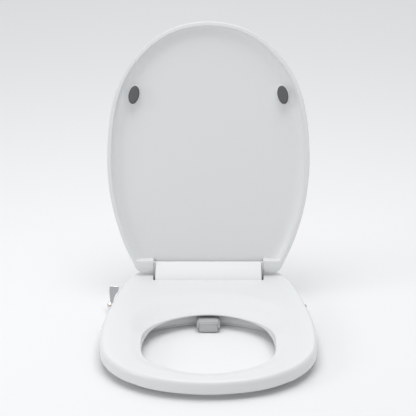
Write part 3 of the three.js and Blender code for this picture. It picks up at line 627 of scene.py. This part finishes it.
nose = smooth_open([[5.5, RIM], [0.5, -9.2], [-4, -6.6], [-6.7, -2.2], [-7, 0], [-6.2, 3.4], [-3.4, 6.4], [1, 8.2]], 5)
nose = np.vstack([[[6.2, RIM - 2]], nose, [[6, 12], [-20, 12], [-20, RIM - 2]]])
lid = cut(lid, dish_solid("dish"))
lid = cut(lid, prism_lid("lid_notch", fillet([[LID_CUT, -40], [LID_CUT, 40], [-40, 40], [-40, -40]], 0), -NOTCH_X, NOTCH_X))
lid = cut(lid, prism_lid("lid_lip", [[LID_CUT - 1, -40], [30, -40], [30, RIM + DISH], [20, RIM + DISH], [16, 4.5], [13.4, 5.5], [LID_CUT, 6.9], [LID_CUT - 1, 6.9]], -NOTCH_X, NOTCH_X))
lid = cut(lid, prism_lid("nose", nose, -200, 200))
for side in (-1, 1):
    a, b = sorted((side * 126.6, side * (NOTCH_X + 0.1)))
    lid = join(lid, rod("barrel", "x", (0, pin[1], pin[2]), a, b, BARREL_R, 0.5, 72))
lid = cut(lid, rod("b1", "x", (0, pin[1], pin[2]), -115.8, -92, BORE_R, 0.01), rod("b2", "x", (0, pin[1], pin[2]), 92, 115.8, BORE_R, 0.01))

LBX, LBS, LBT = 135.4, 321.0, 0.22


def lid_oval(name, x, s, a, b, levels, turn, n=64):
    loops = []
    for d, h in levels:
        p = oval(x, s, a - d, b - d, n, turn)
        loops.append(L(p[:, 0], p[:, 1], h))
    return grid(name, loops, False)


for side in (-1, 1):
    n, t = ("left", -LBT) if side < 0 else ("right", LBT)
    x = side * LBX
    cup = lid_oval("cup", x, LBS, 11.3, 18.4, [(0.7, RIM + 0.6), (0.28, RIM + 0.72), (0.05, RIM + 1.05), (0, RIM + 1.6), (0, 6)], t)
    keep_in = cut(dish_solid("d2"), lid_oval("col", x, LBS, 30, 30, [(0, RIM - 20), (0, 20)], 0))
    cup = cut(cup, keep_in)
    cup = cut(cup, lid_oval("rec", x, LBS, 9.6, 16.7, [(-0.5, RIM - 3), (-0.5, RIM + 0.62), (-0.2, RIM + 0.8), (0, RIM + 1.2), (0, RIM + 3.6)], t))
    lid = join(lid, cup)
    pad_levels = [(4.6, -11.6), (3.0, -11.56), (1.7, -11.3), (0.8, -10.9), (0.25, -10.3), (0.0, -9.4), (0.0, RIM + 3.2)]
    o = lid_oval("pad_lid_bumper_" + n, x, LBS, 9.2, 16.3, pad_levels, t)
    place(o, "lid", "grey_rubber", ["lid_bumper_" + n])
place(lid, "lid", "white_shell", ["lid_shell"])

# ------------------------------------------------------------------ hinge block
deck_h = -38.2
top_arc = arc(0, 0, BLOCK_R, BLOCK_R, 96, 150, 22)
block_outer = np.vstack([[[27.2, deck_h], [27.2, -14.2], [26.95, -13.4], [26.5, -12.8], [0.2, 11.5], [-0.55, 11.88]], top_arc, [[-13.2, 1.6], [-15.6, -5], [-18, -20], [-18, deck_h]]])
block_inner = [[25.2, deck_h - 5], [25.2, -14.4], [-1.8, 10.0], [-6, 8.1], [-8.7, 4.9], [-11.2, 0.6], [-13.6, -5.4], [-16, -20], [-16, deck_h - 5]]
cover = prism_sh("hinge_block_cover", block_outer, -BLOCK_X, BLOCK_X)
cover = round_edges(cover, 1.3, 50, 4, keep=lambda e: e.verts[0].co.x * e.verts[1].co.x > 0 and min(abs(e.verts[0].co.x), abs(e.verts[1].co.x)) > BLOCK_X - 0.01)
cover = cut(cover, prism_sh("inn", block_inner, -BLOCK_X + 2, BLOCK_X - 2), block("deck", -200, 200, -200, 200, -50, BASE_TOP + 0.3),
            rod("h1", "x", (0, pin[1], pin[2]), -103, -93, 4.4, 0.01), rod("h2", "x", (0, pin[1], pin[2]), 93, 103, 4.4, 0.01))
place(cover, "base", "white_shell", ["hinge_cover"])
for name, sgn in [("lid_damper", -1), ("seat_damper", 1)]:
    prof = [(44.0, 3.4), (44.6, 4.2), (45.4, 4.6), (52.4, 4.6), (52.8, 4.35), (53.4, 4.35), (53.8, 4.6), (85.8, 4.6), (86.2, 4.35), (87.0, 4.35), (87.4, 4.6), (95.0, 4.6), (95.6, 4.1), (95.6, 3.2), (95.2, 2.95), (71.8, 2.95), (71.8, 0.0)]
    o = lathe("cylinder_" + name, [(sgn * a, r) for a, r in prof], "x", (0, pin[1], pin[2]), 48)
    place(o, "base", "inner_plastic", [name])

# ------------------------------------------------------------------ base unit
base_poly = whole(BASE_OUT, 960)
BCY = -28.0
NBASE = 260
BANG = 2 * np.pi * np.arange(NBASE) / NBASE


def base_loop(d, z):
    r = inset(base_poly, 0, BCY, BANG, d)
    y = BCY + r * np.cos(BANG)
    return W(r * np.sin(BANG), y, z - np.maximum(0, -98 - y) * 0.038 * max(0.0, (z - 8) / (BASE_TOP - 8)))


outer = [(0.35, TRAY_TOP + 0.3), (0.08, TRAY_TOP + 0.55), (0.0, TRAY_TOP + 1.0)] + [tuple(p) for p in smooth_open([[0.02, 5.2], [0.2, 8], [1.6, 14], [4, 18], [6.6, 20], [10, BASE_TOP]], 4)]
base = grid("base_unit_cover", [base_loop(d, z) for d, z in outer], False)
hollow = grid("hollow", [base_loop(d, z) for d, z in [(2.2, 0), (2.4, 8), (3.8, 13), (6.2, 16.4), (9, 18.2), (12, 18.4)]], False)
base = cut(base, hollow, block("mouth", -16.3, 16.3, -120, -60, 0, 14.2),
           rod("sp", "x", (0, LEVER_Y, LEVER_Z), -190, -160, 3.5, 0.01),
           prism_x("btn", oval(BUTTON_Y, BUTTON_Z - 1.6, 6.9, 3.4, 40), 150, 190),
           rod("inl", "y", (-128, 0, INLET_Z), 30, 60, INLET_R + 0.4, 0.01))
place(base, "base", "white_shell", ["base_cover"])

tray = grid("base_unit_tray", [base_loop(d, z) for d, z in [(1.0, 0), (0.5, 0.06), (0.15, 0.4), (0.0, 1.0), (0.0, TRAY_TOP - 0.3), (0.3, TRAY_TOP)]], False)
tray = join(tray, block("boss", -115, 115, -17, 46.4, TRAY_TOP - 1, 4.9))
tray = cut(tray, prism_z("pocket", fillet([[-112.3, -14.3], [112.3, -14.3], [112.3, 44.3], [-112.3, 44.3]], 0.0), -2, 3.2))
for _, x, y in SCREWS:
    tray = cut(tray, rod("a", "z", (x, y, 0), -2, 6, 1.8, 0.01, 32), rod("b", "z", (x, y, 0), -2, 2, 3.6, 0.01, 40))
tray = cut(tray, block("relief", -16.1, 16.1, -140, -96, 2.2, 8))
# three shallow grooves in the underside, outside the plate pocket
for x0, x1, y0, y1 in [(-112, 112, -24.0, -22.6), (-112, 112, -32.0, -30.6), (-112, 112, -40.0, -38.6)]:
    tray = cut(tray, prism_z("groove", fillet([[x0, y0], [x1, y0], [x1, y1], [x0, y1]], 0.6, 4), -1, 0.6))
place(tray, "base", "white_shell", ["base_tray"])

# mounting plate with two bolt slots
plate_o = prism_z("steel_mounting_plate", [[-112, -14], [112, -14], [112, 44], [-112, 44]], 0, 2.9)
for cx in (-75, 75):
    sl = np.vstack([arc(cx, 25, 4.25, 4.25, 0, 180, 20), arc(cx, 2, 4.25, 4.25, 180, 360, 20)])
    plate_o = cut(plate_o, prism_z("slot", sl, -1, 4))
plate_o = round_edges(plate_o, 0.25, 50, 2)
place(plate_o, "base", "stainless_steel", ["mounting_plate"])

# tray screws: pan head with a cross recess, and a threaded shank
for name, x, y in SCREWS:
    prof = [(0.5, 2.3), (0.58, 2.8), (0.85, 3.12), (1.2, 3.2), (1.7, 3.2), (1.7, 1.45)]
    z = 2.2
    while z < 11.8:
        prof += [(z, 1.2), (z + 0.35, 1.45), (z + 0.55, 1.45)]
        z += 0.9
    prof += [(12.0, 1.2), (12.5, 0.5)]
    o = lathe("screw_" + name, prof, "z", (x, y, 0), 32)
    o = cut(o, block("c1", x - 1.9, x + 1.9, y - 0.35, y + 0.35, 0, 1.15), block("c2", x - 0.35, x + 0.35, y - 1.9, y + 1.9, 0, 1.15))
    place(o, "base", "stainless_steel", ["tray_screw_" + name])

# water inlet: threaded stub with a bored end, and its seal
prof = [(38.0, 4.2), (38.0, 6.9), (38.3, INLET_R), (50.4, INLET_R), (50.8, 6.4), (51.8, 6.4)]
y = 52.2
while y < 62.4:
    prof += [(y, 6.42), (y + 0.42, INLET_R), (y + 0.62, INLET_R), (y + 1.05, 6.42)]
    y += 1.3
prof += [(63.3, 6.4), (64.0, 5.9), (64.0, 4.6), (63.6, 4.2)]
place(lathe("threaded_inlet_stub", prof, "y", (-128, 0, INLET_Z), 64, True), "base", "brass", ["water_inlet_fitting"])
prof = [(64.3, 4.6), (64.3, 6.4), (64.55, 6.8), (65.3, 6.85), (66.0, 6.8), (66.3, 6.4), (66.3, 4.6), (66.0, 4.2), (64.6, 4.2)]
place(lathe("inlet_washer", prof, "y", (-128, 0, INLET_Z), 56, True), "base", "grey_rubber", ["inlet_seal_ring"])

# ------------------------------------------------------------------ nozzle unit, tilted about X through (0, 0, NOZZLE_AXIS_Z)
NC, NS = math.cos(NOZZLE_TILT), math.sin(NOZZLE_TILT)


def tilt(o, cz=NOZZLE_AXIS_Z, cy=0.0, c=NC, s=NS):
    me = o.data
    co = np.empty(len(me.vertices) * 3)
    me.vertices.foreach_get("co", co)
    co = co.reshape(-1, 3)
    y, z = co[:, 1].copy(), co[:, 2].copy()
    co[:, 1], co[:, 2] = cy + y * c - z * s, cz + y * s + z * c
    me.vertices.foreach_set("co", co.ravel())
    me.update()
    return o


for n, x in (("rear", -NOZZLE_X), ("front", NOZZLE_X)):
    prof = [(-96.4, 1.9), (-96.4, 3.5), (-96.1, NOZZLE_R), (-92.0, NOZZLE_R), (-91.7, 3.65), (-90.9, 3.65), (-90.6, NOZZLE_R), (-1.3, NOZZLE_R), (-1.0, 3.5), (-1.0, 2.2), (-1.3, 1.9), (-92.6, 1.9), (-92.9, 0.0)]
    prof = [(-96.4, 0.0)] + prof[1:]
    place(tilt(lathe("tube_" + n + "_wash", prof, "y", (x, 0, 0), 48)), "nozzles", "white_shell", [n + "_wash_nozzle"])
    prof = [(-105.0, 0.0), (-105.0, 1.2), (-104.9, 2.1), (-104.5, 2.9), (-103.8, 3.45), (-102.9, 3.75), (-102.2, NOZZLE_R), (-97.1, NOZZLE_R), (-96.8, 3.5), (-96.8, 0.0)]
    tip = lathe("tip_" + n, prof, "y", (x, 0, 0), 48)
    tip = cut(tip, rod("j", "z", (x, -101, 0), 1, 6, 0.8, 0.01, 24))
    for k in range(4):
        a = math.pi / 4 + k * math.pi / 2
        tip = cut(tip, rod("k", "z", (x + 1.75 * math.cos(a), -101 + 1.75 * math.sin(a), 0), 1.6, 6, 0.32, 0.01, 12))
    place(tilt(tip), "nozzles", "inner_plastic", [n + "_nozzle_tip"])

# ------------------------------------------------------------------ hood and guard
cheek = fillet([[-118.3, 8], [-118.3, 18], [-150.8, 18], [-154.6, 17.4], [-155, 15.8], [-154.4, 9.6], [-152.8, 8]], [0, 0, 3, 1.2, 1.2, 1.2, 1.0], 5)
roof_in = [[-80, 2], [-80, 16.1], [-150, 16.1], [-150.4, 13.4], [-170, 13.4], [-170, 2]]
hood = prism_x("nozzle_hood_shell", cheek, -20.6, 20.6)
for k in (-1, 1):
    hood = cut(hood, prism_y("bevel", np.array([[k * 15.6, 19], [k * 22.6, 19], [k * 22.6, 12]], float)[::k], -170, -60))
hood = round_edges(hood, 0.8, 30, 3, keep=lambda e: e.verts[0].co.x * e.verts[1].co.x > 0 and min(abs(e.verts[0].co.x), abs(e.verts[1].co.x)) > 16.4 and min(e.verts[0].co.y, e.verts[1].co.y) < -118.4 and max(e.verts[0].co.z, e.verts[1].co.z) > 8.1)
hood = cut(hood, prism_x("ri", roof_in, -16.9, 16.9), prism_x("rf", [[-150.7, 2], [-150.7, 30], [-170, 30], [-170, 2]], -16.9, 16.9), rod("gp", "x", (0, GUARD_Y, GUARD_Z), -17.9, 17.9, 1.1, 0.01, 24))
# the hood takes the darkened white plastic: painted shade from the seat above
place(hood, "base", "pale_grey_plastic", ["nozzle_hood"])
place(rod("hinge_pin_guard", "x", (0, GUARD_Y, GUARD_Z), -17.6, 17.6, 0.75, 0.15, 24), "base", "stainless_steel", ["guard_pin"])
flap_face = fillet([[-16.4, 15], [-16.4, 3.6], [-15.4, 2.1], [-13.4, 1.5], [0, 0.9], [13.4, 1.5], [15.4, 2.1], [16.4, 3.6], [16.4, 15]], [0, 1.5, 1.5, 2, 60, 2, 1.5, 1.5, 0], 6)
flap = prism_y("guard_flap", flap_face, -154.0, -152.2)
flap = round_edges(flap, 0.45, 50, 3)
flap = join(flap, rod("kn", "x", (0, GUARD_Y, GUARD_Z), -16.4, 16.4, 1.55, 0.2, 32))
flap = cut(flap, rod("kb", "x", (0, GUARD_Y, GUARD_Z), -20, 20, 1.05, 0.01, 24))
# the flap takes the darkened white plastic: painted shade from the seat above
place(flap, "guard", "pale_grey_plastic", ["nozzle_guard"])

# ------------------------------------------------------------------ side lever
VC, VS = math.cos(-LEVER_LEAN), math.sin(-LEVER_LEAN)
paddle = smooth_closed([[-178.2, 4], [-175.6, 3.6], [-173.2, 4], [-172.6, 9], [-171.4, 14], [-168, 21], [-165, 24.2], [-163.6, 27], [-163.1, 31], [-163.1, 33.8], [-164.2, 34.7], [-171, 35.3], [-178.6, 35.9], [-179.8, 35], [-180.1, 31], [-180.2, 24], [-179.6, 18], [-179, 12]], 108)
lever = prism_y("lever_paddle", paddle, -2.3, 2.3)
lever = round_edges(lever, 0.9, 55, 4)
hub = lathe("hub", [(-182.4, 5.4), (-182.3, 5.9), (-181.9, 6.35), (-181.3, 6.6), (-177.9, 6.6), (-177.55, 6.45), (-177.4, 6.1)], "x", (0, 0, 0), 56)
lever = join(lever, hub)
lever = cut(lever, rod("lb", "x", (0, 0, 0), -190, -170, 2.4, 0.01, 32))
tilt(lever, LEVER_Z, LEVER_Y, VC, VS)
place(lever, "lever", "chrome", ["control_lever"])
prof = [(-184.0, 0.0), (-184.0, 2.2), (-183.92, 3.1), (-183.7, 3.75), (-183.3, 4.1), (-182.95, 4.2), (-182.7, 4.0), (-182.7, 0.0)]
place(tilt(lathe("lever_cap", prof, "x", (0, 0, 0), 48), LEVER_Z, LEVER_Y, VC, VS), "lever", "chrome", ["lever_screw_cap"])
prof = [(-181.0, 0.0), (-181.0, 1.8), (-180.7, 2.05), (-176.95, 2.05), (-176.9, 2.8), (-176.6, 3.05), (-171.4, 3.05), (-171.2, 2.6), (-170.0, 2.6), (-169.8, 3.05), (-142.4, 3.05), (-142.0, 2.7), (-142.0, 0.0)]
place(tilt(lathe("spindle_turned", prof, "x", (0, 0, 0), 40), LEVER_Z, LEVER_Y, VC, VS), "lever", "brass", ["valve_spindle"])

# ------------------------------------------------------------------ release button, with three grip grooves
btn_loops = []
for d, x in [(0.4, 164.0), (0.0, 164.4), (0.0, 176.4), (0.12, 176.9), (0.45, 177.3), (1.0, 177.55), (1.7, 177.6)]:
    p = oval(BUTTON_Y, BUTTON_Z - 1.6, 6.5 - d, 3 - d, 56)
    btn_loops.append(W(x, p[:, 0], p[:, 1]))
btn = grid("button_cap", btn_loops, False)
for k in (-2.4, 0.0, 2.4):
    btn = cut(btn, block("g", 177.15, 180, BUTTON_Y + k - 0.4, BUTTON_Y + k + 0.4, BUTTON_Z - 3.6, BUTTON_Z + 0.4))
place(btn, "button", "grey_plastic", ["release_button"])

# ------------------------------------------------------------------ finishes of the CAD nodes that stay
for m in frame["record"].get("materials", []):
    s_name = m.get("slot")
    for n in m.get("nodes", []) or []:
        o = frame["nodes"].get(n)
        if o is None or s_name not in M:
            continue
        if len(o.material_slots):
            o.material_slots[0].material = M[s_name]
        else:
            o.data.materials.append(M[s_name])
for n, o in frame["nodes"].items():
    if not any(sl.material in M.values() for sl in o.material_slots if sl.material):
        key = "hose" if "tube" in n else "stainless_steel" if ("pin" in n or "screw" in n or "plate" in n or "feed_tube" in n) else "inner_plastic"
        if len(o.material_slots):
            o.material_slots[0].material = M[key]
        else:
            o.data.materials.append(M[key])

# ------------------------------------------------------------------ studio
floor_me = bpy.data.meshes.new("studio_floor")
R = 14.0
floor_me.from_pydata([(-R, -R, -0.0006), (R, -R, -0.0006), (R, R, -0.0006), (-R, R, -0.0006)], [], [(0, 1, 2, 3)])
floor = bpy.data.objects.new("studio_floor", floor_me)
scene.collection.objects.link(floor)
fm = bpy.data.materials.new("studio_floor_white")
fm.use_nodes = True
nt = fm.node_tree
nt.nodes.clear()
o_ = nt.nodes.new("ShaderNodeOutputMaterial")
dif = nt.nodes.new("ShaderNodeBsdfDiffuse")
dif.inputs["Color"].default_value = (0.86, 0.86, 0.865, 1)
nt.links.new(dif.outputs[0], o_.inputs[0])
floor_me.materials.append(fm)

world = bpy.data.worlds.new("studio_world")
scene.world = world
world.use_nodes = True
wn = world.node_tree
bg = wn.nodes["Background"]
bg.inputs["Color"].default_value = (0.97, 0.985, 1.0, 1)
bg.inputs["Strength"].default_value = 0.52


def area(name, loc, target, size, power, colour=(1, 1, 1), size_y=None):
    d = bpy.data.lights.new(name, "AREA")
    d.shape = "RECTANGLE"
    d.size = size
    d.size_y = size_y or size
    d.energy = power
    d.color = colour
    o = bpy.data.objects.new(name, d)
    scene.collection.objects.link(o)
    o.location = loc
    o.rotation_euler = (Vector(target) - Vector(loc)).to_track_quat("-Z", "Y").to_euler()
    return o


area("key_left", (-2.5, -1.0, 1.5), (0, -0.05, 0.2), 0.9, 11)
area("top_soft", (0.0, -0.3, 2.4), (0, -0.1, 0), 1.8, 29)
area("rear_soft", (0.0, 3.6, 3.4), (0, 2.9, 0), 5.0, 50)

scene.view_settings.view_transform = "Standard"
scene.view_settings.look = "None"
scene.view_settings.exposure = 0.0
scene.view_settings.gamma = 1.0

# ------------------------------------------------------------------ camera
cam_d = bpy.data.cameras.new("camera")
cam = bpy.data.objects.new("camera", cam_d)
scene.collection.objects.link(cam)
cam.location = (0, -2.8139, 1.0954)
cam.rotation_euler = (math.radians(72), 0, 0)
cam_d.sensor_width = 36.0
cam_d.lens = 1627.0 / 416.0 * 36.0
cam_d.shift_x = -0.4 / 416.0
cam_d.clip_start, cam_d.clip_end = 0.05, 60
cam_d.dof.use_dof = False
scene.camera = cam
